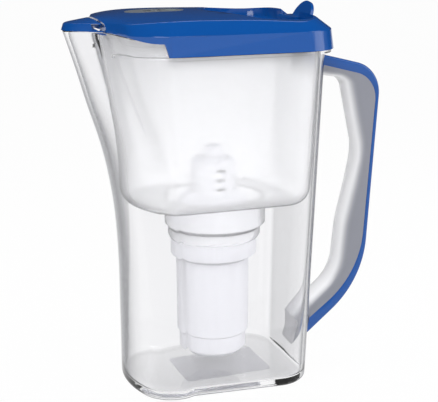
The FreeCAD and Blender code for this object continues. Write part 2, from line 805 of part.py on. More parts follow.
NECK = "sizes.cap_neck / 2"
cap = turned_body("cap_body", [
    ("0", "sizes.knob_top"),
    ("sizes.knob_width / 2 - sizes.knob_round", "sizes.knob_top"),
    ("sizes.knob_width / 2", "sizes.knob_top - sizes.knob_round"),
    ("sizes.knob_width / 2", "sizes.cap_top"),
    (NECK + " - sizes.cap_top_round", "sizes.cap_top"),
    (NECK, "sizes.cap_top - sizes.cap_top_round"),
    (NECK, "sizes.cap_neck_height"),
    ("sizes.cap_cone / 2", "sizes.cap_cone_height"),
    ("sizes.cap_shoulder / 2", "sizes.cap_flange_top"),
    ("sizes.flange_half", "sizes.cap_flange_top"),
    ("sizes.flange_half", "sizes.filter_flange_top"),
    ("sizes.cap_shoulder / 2 - 2 * sizes.cap_wall", "sizes.filter_flange_top"),
    ("sizes.cap_cone / 2 - sizes.cap_wall", "sizes.cap_cone_height - 2 * sizes.cap_wall"),
    (NECK + " - sizes.cap_wall", "sizes.cap_neck_height - sizes.cap_wall"),
    (NECK + " - sizes.cap_wall", "sizes.cap_top - sizes.cap_wall - sizes.cap_top_round"),
    (NECK + " - sizes.cap_wall - sizes.cap_top_round", "sizes.cap_top - sizes.cap_wall"),
    ("0", "sizes.cap_top - sizes.cap_wall"),
])
inlet = new_sketch(cap, "inlet_slots", "XZ_Plane")
SLOT_ROW_COUNT = 3
for row in range(SLOT_ROW_COUNT):
    low = "sizes.slot_first + %d * sizes.slot_pitch" % row
    high = low + " + sizes.slot_height"
    polygon(inlet, [("-sizes.slot_width / 2", low), ("sizes.slot_width / 2", low),
                    ("sizes.slot_width / 2", high), ("-sizes.slot_width / 2", high)])
intake = cap.newObject("PartDesign::Pocket", "inlet_cut")
intake.Profile = inlet
intake.Midplane = True
intake.setExpression("Length", "sizes.cap_neck + 2 * sizes.overrun")
SLOT_COLUMN_COUNT = 2
columns = cap.newObject("PartDesign::PolarPattern", "inlet_columns")
columns.Originals = [intake]
columns.Axis = (inlet, ["V_Axis"])
columns.Angle = 180
columns.Occurrences = SLOT_COLUMN_COUNT
cap.Tip = columns
keep(cap, "filter_cap")

SEAL_OUTER = "(sizes.collar_half + sizes.filter_play - sizes.seal_gap)"
SEAL_SLOPE = "sizes.seal_width / 4"
seal = turned_body("seal_body", [
    ("sizes.groove_half", "sizes.seal_seat + sizes.seal_gap"),
    ("sizes.collar_half", "sizes.seal_seat + sizes.seal_gap"),
    (SEAL_OUTER, "sizes.seal_seat + " + SEAL_SLOPE),
    (SEAL_OUTER, SEAL_TOP + " - " + SEAL_SLOPE),
    ("sizes.collar_half", SEAL_TOP + " - sizes.seal_gap"),
    ("sizes.groove_half", SEAL_TOP + " - sizes.seal_gap"),
])
keep(seal, "filter_seal")


def disc(name, radius, low, height):
    """Round plate or bed standing on the filter axis."""
    piece = doc.addObject("Part::Cylinder", name + "_disc")
    piece.setExpression("Radius", radius)
    piece.setExpression("Height", height)
    piece.setExpression("Placement.Base.z", low)
    return keep(piece, name)


CARBON_SHARE = 0.53
BED = BORE + " - sizes.bed_play"
BED_ROOM = "(sizes.bed_top - sizes.bed_low - 3 * sizes.screen_thick)"
CARBON_HEIGHT = "%g * %s" % (CARBON_SHARE, BED_ROOM)
MINERAL_HEIGHT = "(1 - %g) * %s" % (CARBON_SHARE, BED_ROOM)
CARBON_LOW = "sizes.bed_low + sizes.screen_thick"
DIVIDER_LOW = CARBON_LOW + " + " + CARBON_HEIGHT
MINERAL_LOW = DIVIDER_LOW + " + sizes.screen_thick"
disc("outlet_screen", BED, "sizes.bed_low", "sizes.screen_thick")
disc("carbon_bed", BED, CARBON_LOW, CARBON_HEIGHT)
disc("divider_screen", BED, DIVIDER_LOW, "sizes.screen_thick")
disc("mineral_bed", BED, MINERAL_LOW, MINERAL_HEIGHT)
disc("inlet_screen", BED, "sizes.bed_top - sizes.screen_thick", "sizes.screen_thick")


# Lid: a drafted skirt, a bevel and a crowned roof

def bevel_plan(z):
    """Outer outline of the lid on its bevel, and beyond the ridge in line with it."""
    share = (z - size("bevel_low")) / (size("ridge_height") - size("bevel_low"))
    start = skirt_plan(size("bevel_low"))
    end = {"front": size("ridge_front"), "prow": size("ridge_prow_round"), "lobe": size("ridge_lobe_round"),
           "lobe_half": size("ridge_half"), "half": size("ridge_half"), "back": size("ridge_back"),
           "back_round": size("ridge_back_round")}
    plan = {key: start[key] + (end[key] - start[key]) * share for key in end}
    plan["turn"] = 0
    return plan


def under_crown(drop):
    """Everything under the crowned roof, lowered by a wall."""
    far = size("skirt_half")
    front_run = size("lid_front") - size("crown_place")
    back_run = size("skirt_back") + size("crown_place")
    grid = []
    for x_share in (-1.1, -0.8, -0.5, -0.25, 0.0, 0.25, 0.5, 0.75, 1.1):
        run = front_run if x_share < 0 else back_run
        fall = size("crown_front_fall") if x_share < 0 else size("crown_back_fall")
        spine = size("crown_height") - drop - fall * x_share ** 2
        grid.append([Vector(-size("crown_place") + run * x_share, far * y_share * 2,
                            spine - size("crown_side_fall") * (y_share * 2) ** 2)
                     for y_share in (-0.55, -0.3, 0.0, 0.3, 0.55)])
    roof = Part.BSplineSurface()
    roof.interpolate(grid)
    return roof.toShape().extrude(Vector(0, 0, -size("crown_height") / 4))


def lid_form(inset, drop, low):
    """Closed form of the lid, moved in by a wall."""
    peak = size("ridge_height") + size("ridge_rise")
    skirt = loft([plan_wire(skirt_plan(z), z, inset) for z in (low, size("bevel_low"))], True)
    bevel = loft([plan_wire(bevel_plan(z), z, inset) for z in (size("bevel_low"), peak)], True)
    return skirt.fuse(bevel).common(under_crown(drop))


def softened(form):
    """The lid's form with its ridge and the edge under its bevel rounded."""
    roof = max(form.Faces, key=lambda face: face.CenterOfMass.z)
    form = form.makeFillet(size("ridge_round"), roof.OuterWire.Edges)
    low = size("bevel_low")
    hips = [edge for edge in form.Edges
            if abs(edge.BoundBox.ZMin - low) < NEAR and abs(edge.BoundBox.ZMax - low) < NEAR]
    return form.makeFillet(size("bevel_round"), hips)


def below_lid():
    """Everything under the lid's lower edge ahead of the skirt."""
    far_front = -size("lid_front") - OVER
    low = size("skirt_low") - 2 * OVER
    front, ramp, back = rim_line(size("lid_gap"))
    foot = Vector(-size("skirt_front"), 0, size("skirt_low") - OVER)
    corners = [back, foot, Vector(foot.x, 0, low), Vector(far_front, 0, low),
               Vector(far_front, 0, front.z), front]
    return prism_y([ramp] + [line(a, b) for a, b in zip(corners, corners[1:])], size("skirt_half") + OVER)


def rounded_plate(x0, x1, half, front_radius, back_radius, z0, z1):
    """Upright prism with rounded corners in plan, larger ones at the back."""
    plate = box(x0, x1, half, z0, z1)
    uprights = [edge for edge in plate.Edges if edge.BoundBox.ZLength > (z1 - z0) / 2]
    fronts = [edge for edge in uprights if edge.BoundBox.XMin < (x0 + x1) / 2]
    plate = plate.makeFillet(front_radius, fronts)
    uprights = [edge for edge in plate.Edges if edge.BoundBox.ZLength > (z1 - z0) / 2]
    backs = [edge for edge in uprights if edge.BoundBox.XMin > x1 - back_radius / 2]
    return plate.makeFillet(back_radius, backs)


def oval(length, width, z0, z1):
    """Upright prism of two half circles joined by straights, at the indicator's place."""
    reach = (length - width) / 2
    plate = box(-size("case_place") - length / 2, -size("case_place") + length / 2, width / 2, z0, z1)
    uprights = [edge for edge in plate.Edges if edge.BoundBox.ZLength > (z1 - z0) / 2]
    return plate.makeFillet(width / 2 - reach / 1000, uprights)


ROOF_TOP = size("crown_height") + OVER
barrel_half = size("flap_barrel") / 2
flap_axis = (size("well_front") + size("flap_front_gap") + barrel_half,
             size("well_floor") + size("flap_barrel_gap") + barrel_half)
spout_axis = (-size("lid_front") + size("spout_axis_setback"), TOP + size("spout_axis_rise"))
spout_skin_low = spout_axis[1] + size("spout_skin_rise")
front_wall_x = spout_axis[0] + size("spout_knuckle") + size("spout_knuckle_gap")
lid_outer = softened(lid_form(0.0, 0.0, size("skirt_low")))
lid_inner = lid_form(size("lid_wall"), size("lid_wall"), size("skirt_low") - OVER)
lid_skin = lid_outer.cut(lid_inner).cut(below_lid())


def well_prism(grow, low, high):
    return rounded_plate(size("well_front") - grow, size("well_back") + grow, size("well_half") + grow,
                         size("well_front_round") + grow, size("well_round") + grow, low, high)


def scoop_prism(grow, low, high):
    """Blunt point in plan ahead of the well, open into it."""
    front = size("well_front")
    half = size("well_half")
    reach = size("scoop_reach") + grow * math.hypot(half, size("scoop_reach")) / half
    corners = [(front + size("lid_wall"), half + grow), (front, half + grow), (front - reach, 0),
               (front, -half - grow), (front + size("lid_wall"), -half - grow)]
    outline = Part.makePolygon([Vector(x, y, low) for x, y in corners + corners[:1]])
    solid = Part.Face(outline).extrude(Vector(0, 0, high - low))
    nose = [edge for edge in solid.Edges if edge.BoundBox.XMax < front - reach + NEAR]
    return solid.makeFillet(size("scoop_round") + grow, nose)


def spout_side(knuckle, skin_low):
    """Space of the spout flap: ahead of its axis, and a round of the roof just behind it."""
    far = size("skirt_half") + OVER
    ahead = box(-size("lid_front") - OVER, spout_axis[0], far, size("skirt_low"), ROOF_TOP)
    return ahead.fuse(knuckle_part(knuckle, skin_low, ROOF_TOP))


def knuckle_part(knuckle, low, high):
    """Half round behind the spout flap's axis, between two heights."""
    x, z = spout_axis
    far = size("skirt_half") + OVER
    return rod_y(x, z, knuckle, -far, far).common(box(x, x + knuckle, far, low, high))


def ear(y0):
    """Round head about the spout flap's axis, on a strut that slopes down to the front wall."""
    x, z = spout_axis
    thick = size("ear_thick")
    back = front_wall_x + size("lid_wall")
    high = z - size("ear_drop")
    low = high - size("ear_strut")
    head = rod_y(x, z, size("ear_round"), y0, y0 + thick)
    corners = [(x, z - size("ear_round")), (front_wall_x, low), (back, low), (back, z),
               (front_wall_x, z), (front_wall_x, high), (x + size("ear_round"), z), (x, z)]
    strut = Part.makePolygon([Vector(cx, y0, cz) for cx, cz in corners + corners[:1]])
    return head.fuse(Part.Face(strut).extrude(Vector(0, thick, 0)))


def make_lid():
    well_low = size("well_floor") - size("lid_wall")
    well = well_prism(size("lid_wall"), well_low, ROOF_TOP).common(lid_outer)
    room = spout_side(size("spout_knuckle") + size("spout_knuckle_gap"), size("skirt_low"))
    scoop_low = size("scoop_floor") - size("lid_wall")
    scoop = scoop_prism(size("lid_wall"), scoop_low, ROOF_TOP).common(lid_outer)
    shell = lid_skin.cut(room).fuse([well, scoop])
    shell = shell.cut(well_prism(0, size("well_floor"), ROOF_TOP))
    shell = shell.cut(scoop_prism(0, size("scoop_floor"), ROOF_TOP))
    seat = size("well_seat")
    mouth = rounded_plate(size("well_front") + 2 * seat, size("well_back") - seat, size("well_half") - seat,
                          size("well_front_round"), size("well_round") - seat, well_low - OVER, ROOF_TOP)
    shell = shell.cut(mouth)
    notch = box(size("well_back") - OVER, size("skirt_back") + OVER, size("notch_half"),
                size("notch_low"), ROOF_TOP)
    shell = shell.cut(notch)
    pin = size("pin_width") / 2 + size("pin_play")
    bore_reach = size("well_half") + size("lid_wall") + OVER
    shell = shell.cut(rod_y(flap_axis[0], flap_axis[1], pin, -bore_reach, bore_reach))
    # A wall closes the front of the lid and carries the spout flap's two ears.
    wall_low = TOP + 2 * size("lid_gap")
    wall_x = front_wall_x + size("lid_wall")
    wall = box(front_wall_x, wall_x, size("skirt_half"), wall_low, ROOF_TOP).common(lid_inner)
    shell = shell.fuse(wall)
    ear_bore = size("ear_pin") / 2 + size("pin_play")
    for y0 in (size("ear_place"), -size("ear_place") - size("ear_thick")):
        shell = shell.fuse(ear(y0))
    shell = shell.cut(rod_y(spout_axis[0], spout_axis[1], ear_bore, -size("skirt_half"), size("skirt_half")))
    # An oval seat and a hole under it take the change indicator.
    case_seat = oval(size("case_length"), size("case_width"), well_low, ROOF_TOP)
    shell = shell.cut(case_seat.cut(under_crown(size("case_flange"))))
    hole_cut = 2 * size("case_lip")
    shell = shell.cut(oval(size("case_length") - hole_cut, size("case_width") - hole_cut, well_low, ROOF_TOP))
    return shell.removeSplitter()


def make_spout_flap():
    x, z = spout_axis
    space = spout_side(size("spout_knuckle"), spout_skin_low)
    # Below the roof, behind the axis, only a thin lip is left, which passes outside the jug as the flap turns.
    mouth = Part.Face(plan_wire(jug_plan(TOP), size("skirt_low"), -size("spout_lip_gap")))
    mouth = mouth.extrude(Vector(0, 0, spout_skin_low - size("skirt_low")))
    under_roof = knuckle_part(size("spout_knuckle"), size("skirt_low"), spout_skin_low)
    flap = lid_skin.common(space.fuse(under_roof.cut(mouth)))
    room = lid_outer.common(space)
    gap = size("ear_gap")
    ear_end = size("ear_place") + size("ear_thick")
    for y0 in (size("ear_place") - gap, -ear_end - gap):
        flap = flap.cut(rod_y(x, z, size("ear_round") + gap, y0, y0 + size("ear_thick") + 2 * gap))
    # Two ribs inside the ears hold the pins.
    rib_thick = size("rib_thick")
    rib_end = size("ear_place") - gap
    rib_reach = size("spout_knuckle")
    for rib_y, pin_y in ((rib_end - rib_thick, rib_end), (-rib_end, -ear_end)):
        head = rod_y(x, z, size("ear_round"), rib_y, rib_y + rib_thick)
        rib = Part.makeBox(rib_reach, rib_thick, ROOF_TOP - z, Vector(x - rib_reach, rib_y, z))
        pin = rod_y(x, z, size("ear_pin") / 2, pin_y, pin_y + ear_end - rib_end)
        flap = flap.fuse([head, rib.common(room), pin])
    return flap


def make_fill_flap():
    gap = size("flap_gap")
    low = size("well_floor") + size("flap_rest")
    high = low + size("flap_thick")
    half = size("well_half") - gap
    back = size("well_back") - gap
    plate = rounded_plate(size("well_front") + gap, back, half, size("well_front_round") - gap,
                          size("well_round") - gap, low, high)
    ahead = box(size("well_front"), flap_axis[0], size("well_half"), low - OVER, high + OVER)
    barrel = rod_y(flap_axis[0], flap_axis[1], size("flap_barrel") / 2, -half, half)
    pin_end = half + size("pin_length")
    pins = rod_y(flap_axis[0], flap_axis[1], size("pin_width") / 2, -pin_end, pin_end)
    # The thumb tab climbs through the notch in the back rim and ends in a half moon.
    root_low = size("notch_low") + size("flap_rest")
    root_high = root_low + size("flap_thick")
    riser = box(back - size("tab_thick"), back, size("tab_half"), low, root_high)
    root = box(back - size("tab_thick"), size("tab_reach"), size("tab_half"), root_low, root_high)
    lean = math.radians(size("tab_lean"))
    rise = size("tab_top") - root_low - size("tab_thick") * math.sin(lean)
    moon_high = root_low + rise / math.cos(lean)
    moon = Part.makeCylinder(size("tab_half"), size("tab_thick"), Vector(0, 0, 0), Vector(1, 0, 0))
    moon.translate(Vector(size("tab_reach") - size("tab_thick"), 0, moon_high - size("tab_half")))
    moon = moon.common(box(back, size("tab_reach") + OVER, size("tab_half") + OVER,
                           root_low, moon_high + OVER))
    moon.rotate(Vector(size("tab_reach"), 0, root_low), Vector(0, 1, 0), size("tab_lean"))
    return plate.cut(ahead).fuse([barrel, pins, riser, root, moon]).removeSplitter()


add_shape("lid_shell", make_lid())
add_shape("spout_flap", make_spout_flap())
add_shape("fill_flap", make_fill_flap())


# Change indicator: case, window, display, board, cell, cover and reset button

case_top = size("crown_height")
play = size("case_play")
stack_gap = size("stack_gap")
body_cut = 2 * (size("case_lip") + play)
body_length = size("case_length") - body_cut
body_width = size("case_width") - body_cut
room_length = body_length - 2 * size("case_wall")
room_width = body_width - 2 * size("case_wall")
face_low = case_top - size("case_flange") - size("case_face")
display_low = face_low - size("display_height")
board_top = display_low - stack_gap / 2
board_low = board_top - size("board_thick")
cell_top = board_low - stack_gap
cell_low = cell_top - size("cell_thick")
cover_top = cell_low - stack_gap
case_low = cover_top - size("cover_thick")
button_lip_half = size("button_width") / 2 + size("button_play") + size("button_lip")
button_place = (size("window_place") - size("window_length") / 2 - size("display_margin")
                - size("button_side_gap") - button_lip_half)


def upright_disc(place, width, low, high):
    return Part.makeCylinder(width / 2, high - low, Vector(-place, 0, low))


def window(grow, low, high):
    middle = -size("window_place")
    half_length = size("window_length") / 2 + grow
    return box(middle - half_length, middle + half_length, size("window_width") / 2 + grow, low, high)


def make_case():
    flange = oval(size("case_length") - 2 * play, size("case_width") - 2 * play, face_low, ROOF_TOP)
    flange = flange.common(under_crown(0.0)).cut(under_crown(size("case_flange")))
    stem = oval(body_length, body_width, case_low, ROOF_TOP).common(under_crown(0.0))
    room = oval(room_length, room_width, case_low - OVER, face_low)
    case = stem.cut(room).fuse(flange)
    bore = size("button_width") + 2 * size("button_play")
    case = case.cut(upright_disc(button_place, bore, case_low, ROOF_TOP))
    lens_seat = window(0.0, face_low - OVER, ROOF_TOP)
    return case.cut(lens_seat).removeSplitter()


add_shape("indicator_case", make_case())
lens_low = case_top - size("case_flange") - size("lens_thick")
add_shape("indicator_lens", window(0.0, lens_low, ROOF_TOP).common(under_crown(size("lens_thick") / 3)))
add_shape("display", window(size("display_margin"), display_low, face_low))
board = oval(room_length - 2 * play, room_width - 2 * play, board_low, board_top)
add_shape("circuit_board", board)
add_shape("coin_cell", upright_disc(size("case_place"), size("cell_width"), cell_low, cell_top))
add_shape("battery_cover", oval(room_length - 2 * play, room_width - 2 * play, case_low, cover_top))


def make_button():
    """Cap through the case's bore, held in by a lip under the face."""
    lip_top = face_low - stack_gap
    lip_low = lip_top - size("button_lip_thick")
    stem = upright_disc(button_place, size("button_width"), lip_low, ROOF_TOP).common(under_crown(0.0))
    return stem.fuse(upright_disc(button_place, 2 * button_lip_half, lip_low, lip_top)).removeSplitter()


add_shape("reset_button", make_button())


# Every object has to be sound before anything is written.

doc.recompute()
for item in doc.Objects:
    if {"Invalid", "Error"} & set(item.State):
        raise RuntimeError("%s did not build: %s" % (item.Name, item.State))
for piece in NODES:
    if piece.Shape.isNull() or not piece.Shape.isValid() or not piece.Shape.Solids:
        raise RuntimeError("%s has no sound solid" % piece.Label)

os.makedirs("parts", exist_ok=True)
for piece in NODES:
    piece.Shape.exportStep("parts/%s.step" % piece.Label)
    print("%-16s %d solid, %.1f cm3" % (piece.Label, len(piece.Shape.Solids), piece.Shape.Volume / 1000))
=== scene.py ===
import json
import math
import bmesh
import bpy
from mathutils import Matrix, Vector


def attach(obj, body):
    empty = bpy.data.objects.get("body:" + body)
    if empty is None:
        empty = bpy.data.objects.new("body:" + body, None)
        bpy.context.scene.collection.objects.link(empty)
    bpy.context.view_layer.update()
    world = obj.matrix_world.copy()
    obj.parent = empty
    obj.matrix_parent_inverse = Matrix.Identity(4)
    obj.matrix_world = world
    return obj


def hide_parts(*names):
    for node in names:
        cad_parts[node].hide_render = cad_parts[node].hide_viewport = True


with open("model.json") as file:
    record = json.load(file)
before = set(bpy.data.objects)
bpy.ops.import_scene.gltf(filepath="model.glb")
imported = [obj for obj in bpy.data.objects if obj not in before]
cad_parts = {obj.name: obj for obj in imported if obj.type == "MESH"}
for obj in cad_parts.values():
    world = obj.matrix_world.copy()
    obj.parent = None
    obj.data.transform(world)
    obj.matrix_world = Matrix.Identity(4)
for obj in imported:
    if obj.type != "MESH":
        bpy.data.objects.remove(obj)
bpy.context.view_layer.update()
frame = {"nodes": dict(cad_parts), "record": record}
NODES = frame["nodes"]
MM = 0.001

# Sizes of the jug and the hopper in millimetres, as the solids have them
JUG_WALL = 2.6
JUG_FLOOR = 5.5
FOOT_ROUND = 4.0
BASE = {"front": 69.5, "back": 62.3, "lobe_half": 45.4, "half": 50.5, "back_round": 24.0, "lobe": 26.0}
RIM = {"front": 107.2, "back": 69.0, "lobe_half": 61.6, "half": 61.6, "back_round": 28.0, "lobe": 8.0}
PROW_ROUND = 80.0
WAIST_ROUND = 10.0
WAIST_TURN = math.radians(18.0)
LOBE_FADE_POWER = 3
SPOUT_HEIGHT = 261.5
RIM_HEIGHT = 256.2
RAMP_FRONT = -91.0
RAMP_BACK = -56.0
RIM_ROUND_SHARE = 0.25
PROW_HEIGHT_SHARES = (0.0, 0.2, 0.36, 0.5, 0.62, 0.71, 0.8, 0.905, 1.0)
PROW_REACH_SHARES = (0.0, 0.0, 0.01, 0.075, 0.21, 0.37, 0.575, 0.79, 1.0)
LEDGE_TOP = 247.6
LEDGE_THICK = 2.2
LEDGE_REACH = 4.4
LEDGE_FRONT = -79.0
PAD_RAISE = 0.6
PAD_FRONT, PAD_BACK = -77.2, -57.8
PAD_LOW, PAD_HIGH = 249.4, 254.4
HOPPER_WALL = 2.0
HOPPER_FLOOR = 136.5
HOPPER_FLOOR_THICK = 2.2
HOPPER_SHOULDER = 14.0
HOPPER_LOW_INSET = 11.0
HOPPER_PLAY, HOPPER_LOW_PLAY = 0.9, 1.8
HOPPER_PROW, HOPPER_LOBE = 74.0, 16.0
POUR_GAP, POUR_LOW_GAP = 20.5, 3.6
FLANGE_THICK = 2.0
FLANGE_INSET = 0.7
FLANGE_FRONT = -52.0
SOCKET_OUTER, SOCKET_LOW_OUTER = 38.3, 34.7
SOCKET_WALL = 2.4
SOCKET_SEAT = 118.5
SOCKET_CHAMFER = 3.6
SOCKET_LIP = 108.5
SOCKET_LIP_INSET = 1.3
# Handle in the solids' sizes: corners and rounds of its finger side, of the strip's inner edge and its back
WALL_REACH = 57.1
FINGER_CORNERS = ((WALL_REACH, 226.5), (102.0, 220.0), (115.5, 162.0), (102.5, 108.0), (99.0, 68.0),
                  (WALL_REACH, 34.5))
FINGER_ROUNDS = (9.0, 40.0, 70.0, 34.0)
STRIP_CORNERS = ((WALL_REACH, 237.4), (128.1, 219.3), (118.8, 66.0), (WALL_REACH, 20.7))
STRIP_ROUNDS = (21.1, 71.1)
BACK_CORNERS = ((WALL_REACH, 244.4), (132.0, 226.3), (122.7, 59.5), (WALL_REACH, 7.7))
BACK_ROUNDS = (25.0, 75.0)
BACK_EDGE = 2.0
GRIP_HALF = 11.0
GRIP_WALL = 2.4
WALL_PLAY = 0.03
# Handle as it is only here: a rounder finger side, and a foot that is clear plastic all through
GRIP_ROUND = 10.0
GRIP_ROUND_SHARE = 0.75
GRIP_INNER_ROUND = 0.4
FOOT_CLEAR = 74.0
FOOT_TOP = 108.0
# Narrow pouring nose, only here too: the share of the width that is left at each place along the rim
NOSE_PLACES = (-110.0, -88.0, -84.0, -80.0, -76.0, -70.0, -60.0, -50.0, 0.0)
NOSE_WIDTH_SHARES = (0.40, 0.40, 0.43, 0.58, 0.77, 0.87, 0.96, 1.0, 1.0)
NOSE_SLICE = 2.0
# Etched rectangle inside the jug's underside
FROST_FRONT, FROST_BACK = -28.6, 38.6
FROST_HALF = 23.0
FROST_ROUND = 3.0
FROST_LEVELS = (0.1, 0.3)
# Fineness of the meshes: points along each stretch of an outline, rows up a wall, stations along the handle
STEPS = {"prow": 52, "lobe": 14, "waist": 10, "side": 22, "corner": 18, "back": 10}
JUG_CLIMB = 46
HOPPER_CLIMB = 20
GRIP_STATIONS = 160
BEND_STEPS = 24
# Distances in millimetres at which points merge, and angles in degrees past which an edge stays sharp
SKIN_MERGE, SKIN_LEAST_EDGE = 0.02, 0.01
COPY_MERGE, SLICE_MERGE = 0.002, 0.0005
LEAST_REACH = 0.2
SHARP_DEGREES = 32.0
LID_SHARP_DEGREES = 15.0


def linear(code):
    """Linear colour of an sRGB hex code."""
    parts = [int(code[i:i + 2], 16) / 255 for i in (1, 3, 5)]
    return [c / 12.92 if c <= 0.04045 else ((c + 0.055) / 1.055) ** 2.4 for c in parts] + [1.0]


def add(tree, kind, settings=None, values=None, links=None):
    """Add a node, set its properties and socket values, and link its inputs."""
    node = tree.nodes.new(kind)
    for name, value in (settings or {}).items():
        setattr(node, name, value)
    for name, value in (values or {}).items():
        node.inputs[name].default_value = value
    for name, source in (links or {}).items():
        tree.links.new(source, node.inputs[name])
    return node


def new_material(name):
    """A material with an empty tree and its output."""
    material = bpy.data.materials.new(name)
    material.use_nodes = True
    tree = material.node_tree
    tree.nodes.clear()
    return material, tree, add(tree, "ShaderNodeOutputMaterial")


# Moulded surfaces: spread of the gloss about its roughness, and the texture that the tool leaves
GLOSS_SPREAD = (0.85, 1.2)
GRAIN_HEIGHT = 0.02
GRAIN_SHARE = 0.25


def fine_bump(tree, place, spacing_mm, strength):
    """Moulding texture: a fine noise of a real spacing."""
    noise = add(tree, "ShaderNodeTexNoise", values={"Scale": 1 / (spacing_mm * MM), "Detail": 3.0},
                links={"Vector": place})
    return add(tree, "ShaderNodeBump", values={"Strength": strength, "Distance": GRAIN_HEIGHT * MM},
               links={"Height": noise.outputs["Fac"]}).outputs["Normal"]


def plastic(name, code, roughness, spacing_mm, strength, values=None):
    """Moulded plastic with a faint unevenness in its gloss."""
    material, tree, output = new_material(name)
    place = add(tree, "ShaderNodeTexCoord").outputs["Object"]
    noise = add(tree, "ShaderNodeTexNoise", values={"Scale": 1 / (spacing_mm * MM), "Detail": 4.0},
                links={"Vector": place})
    gloss = add(tree, "ShaderNodeMapRange", links={"Value": noise.outputs["Fac"]},
                values={"To Min": roughness * GLOSS_SPREAD[0], "To Max": roughness * GLOSS_SPREAD[1]})
    shader = add(tree, "ShaderNodeBsdfPrincipled", values={"Base Color": linear(code), **(values or {})},
                 links={"Roughness": gloss.outputs["Result"],
                        "Normal": fine_bump(tree, place, spacing_mm * GRAIN_SHARE, strength)})
    tree.links.new(shader.outputs["BSDF"], output.inputs["Surface"])
    return material


def clear_plastic(name, face_code, edge_shade_code, roughness, ior, frost=0.0, edge_start=0.5, edge_end=0.95,
                  shade_by_side=False):
    """See-through moulding: pale where it is seen square on, darker along its edges by painted shade, and
    light passes it.

    Asked to shade by side, it paints the darker shade on the surfaces that face sideways instead.
    """
    material, tree, output = new_material(name)
    if shade_by_side:
        facing = add(tree, "ShaderNodeTexCoord").outputs["Normal"]
        axes = add(tree, "ShaderNodeSeparateXYZ", links={"Vector": facing})
        sideways = add(tree, "ShaderNodeMath", {"operation": "ABSOLUTE"}, links={0: axes.outputs["Y"]})
        slant = sideways.outputs["Value"]
    else:
        slant = add(tree, "ShaderNodeLayerWeight", values={"Blend": 0.5}).outputs["Facing"]
    # Painted shade: a darker colour mixed in where the surface is seen at a slant, or where it faces
    # sideways
    edge = add(tree, "ShaderNodeMapRange", {"interpolation_type": "SMOOTHSTEP"},
               {"From Min": edge_start, "From Max": edge_end}, {"Value": slant})
    tint_and_shade = add(tree, "ShaderNodeMix", {"data_type": "RGBA"},
               {"A": linear(face_code), "B": linear(edge_shade_code)}, {"Factor": edge.outputs["Result"]})
    wall = add(tree, "ShaderNodeBsdfPrincipled",
               values={"Roughness": roughness, "IOR": ior, "Transmission Weight": 1.0 - frost},
               links={"Base Color": tint_and_shade.outputs["Result"]})
    through = add(tree, "ShaderNodeBsdfTransparent", values={"Color": linear(face_code)})
    path = add(tree, "ShaderNodeLightPath")
    both = add(tree, "ShaderNodeMixShader", links={"Fac": path.outputs["Is Shadow Ray"],
                                                   1: wall.outputs["BSDF"], 2: through.outputs["BSDF"]})
    tree.links.new(both.outputs["Shader"], output.inputs["Surface"])
    return material


# Injection-moulded ABS, polished tool: deep blue with a wet gloss
BLUE = plastic("blue_abs", "#084c98", 0.12, 6.0, 0.03, {"IOR": 1.53})
# Clear styrene-acrylonitrile: colourless, high gloss, with painted grey shade where an edge is seen along
CLEAR = clear_plastic("clear_san", "#fafafb", "#46484f", 0.02, 1.4, edge_start=0.4, edge_end=0.8)
# The handle's channel of the same plastic: silvery on the finger side, with painted deep grey shade on its
# long sides
CLEAR_HANDLE = clear_plastic("clear_san_handle_side_shade", "#fbfbfc", "#8e9099", 0.2, 1.5, frost=0.85,
                             edge_start=0.55, edge_end=1.0, shade_by_side=True)
# Frosted polypropylene: milky, lets a blurred shape through, with painted grey shade along its edges
FROSTED = clear_plastic("frosted_pp", "#ffffff", "#484a52", 0.112, 1.25, frost=0.28,
                        edge_start=0.42, edge_end=1.0)
# The clear plastic etched in the mould: a dull pale field inside the floor, with a faint painted shade
# where it is seen at a slant
ETCHED = clear_plastic("etched_san", "#f4f4f6", "#d6d8e0", 0.5, 1.5, frost=0.2)
# Natural white polypropylene of the cartridge
WHITE = plastic("white_pp", "#e0e0e4", 0.45, 4.0, 0.06, {"IOR": 1.49})
# Indicator: satin grey ABS, a clear window, a pale display, a laminate board and a steel cell
GREY = plastic("grey_abs", "#6f757c", 0.38, 2.0, 0.06, {"IOR": 1.53})
BUTTON = plastic("grey_button", "#7d8a8a", 0.4, 2.0, 0.06, {"IOR": 1.5})
LENS = plastic("lens_acrylic", "#e8ecee", 0.03, 20.0, 0.0, {"IOR": 1.49, "Transmission Weight": 1.0})
PANEL = plastic("display_panel", "#c3cac6", 0.35, 1.0, 0.0, {"IOR": 1.5})
BOARD = plastic("board_laminate", "#1c5a36", 0.4, 2.0, 0.05, {"IOR": 1.5})
CELL = plastic("cell_steel", "#b9bbbf", 0.3, 1.5, 0.05, {"Metallic": 1.0})
# Inside the cartridge: a silicone ring, woven mesh, and beds of carbon and resin grains
SEAL = plastic("seal_silicone", "#dcdde0", 0.5, 3.0, 0.05, {"IOR": 1.42})
MESH_CLOTH = plastic("filter_mesh", "#e8e8e6", 0.8, 0.6, 0.4, {"IOR": 1.5})
CARBON = plastic("carbon_granules", "#1a1a1b", 0.7, 1.4, 0.9, {"IOR": 1.5})
MINERAL = plastic("resin_granules", "#cbb079", 0.5, 1.2, 0.9, {"IOR": 1.5})

FINISHES = {
    "jug": CLEAR, "handle_frame": CLEAR_HANDLE, "grip_strip": BLUE, "hopper_tub": FROSTED,
    "filter_housing": WHITE, "filter_cap": WHITE, "filter_seal": SEAL, "inlet_screen": MESH_CLOTH,
    "divider_screen": MESH_CLOTH, "outlet_screen": MESH_CLOTH, "mineral_bed": MINERAL, "carbon_bed": CARBON,
    "lid_shell": BLUE, "spout_flap": BLUE, "fill_flap": BLUE,
    "indicator_case": GREY, "indicator_lens": LENS, "display": PANEL, "circuit_board": BOARD,
    "coin_cell": CELL, "battery_cover": GREY, "reset_button": BUTTON,
}
BODY_OF = {node: body for body, nodes in frame["record"]["behaviour"]["bodies"].items() for node in nodes}


def mix(low, high, share):
    """Value between two others."""
    return low + (high - low) * share


